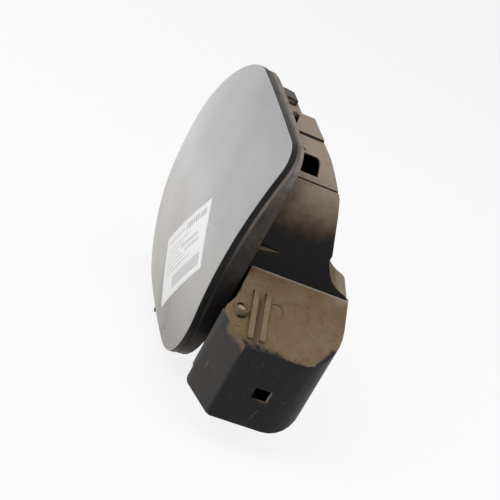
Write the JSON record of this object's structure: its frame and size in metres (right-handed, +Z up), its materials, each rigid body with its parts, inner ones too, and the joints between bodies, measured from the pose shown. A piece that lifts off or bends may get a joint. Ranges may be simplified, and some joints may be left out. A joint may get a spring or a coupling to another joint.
{
  "type": "car fuel door",
  "caption": "Right-hand car fuel door with its moulded filler housing, swan-neck hinge in a side pocket, electric lock, seals and neck ring.",
  "frame": {"origin": "axis of the filler neck's bore at the back of the housing's flat floor", "axes": "+X to the hinge (forward in the car), +Y into the car, +Z up; the painted face looks to -Y"},
  "size_m": [0.218, 0.09, 0.176],
  "materials": {
    "door_paint": "glossy grey body paint, dusty",
    "black_moulding": "fine grained, scratched and dusty",
    "arm_plastic": "glass filled nylon",
    "case_plastic": "satin",
    "white_nylon": "natural nylon",
    "seal_rubber": "soft rubber",
    "zinc_steel": "zinc plated",
    "spring_steel": "drawn wire",
    "contact_brass": "bare",
    "label_paper": "matt, plain grey bars"
  },
  "bodies": {
    "housing_group": {"housing": "black_moulding", "lip_seal": "seal_rubber", "neck_seal": "seal_rubber", "body_clips": "zinc_steel", "hinge_pin": "zinc_steel", "pin_clip": "spring_steel", "door_bumpers": "seal_rubber", "actuator_case": "case_plastic", "actuator_cover": "case_plastic", "actuator_motor": "zinc_steel", "actuator_screws": "zinc_steel", "socket_blades": "contact_brass", "lock_wiper": "seal_rubber"},
    "door": {"door_skin": "door_paint", "door_carrier": "case_plastic", "hinge_arm": "arm_plastic", "arm_bushes": "white_nylon", "arm_screws": "zinc_steel", "catch_tongue": "zinc_steel", "catch_rivets": "zinc_steel", "cap_hook": "arm_plastic", "paper_label": "label_paper", "hinge_spring": "spring_steel"},
    "lock_screw": {"lock_spindle": "zinc_steel"},
    "lock_bolt": {"lock_pin": "white_nylon"}
  },
  "joints": [
    {"name": "door_hinge", "type": "hinge", "parent": "housing_group", "child": "door", "pos_m": [0.0884, -0.0439, -0.026], "axis": [0, 0, 1], "range_deg": [0, 80], "deforming": ["hinge_spring"]},
    {"name": "screw_turn", "type": "hinge", "parent": "housing_group", "child": "lock_screw", "pos_m": [-0.085, -0.033, -0.008], "axis": [0, 0, 1], "range_deg": [0, 1080]},
    {"name": "bolt_slide", "type": "slide", "parent": "housing_group", "child": "lock_bolt", "axis": [0, 0, 1], "range_m": [0, 0.009]}
  ],
  "couplings": [
    {"joint": "screw_turn", "follows": "bolt_slide", "rad_per_m": 2094.4}
  ]
}
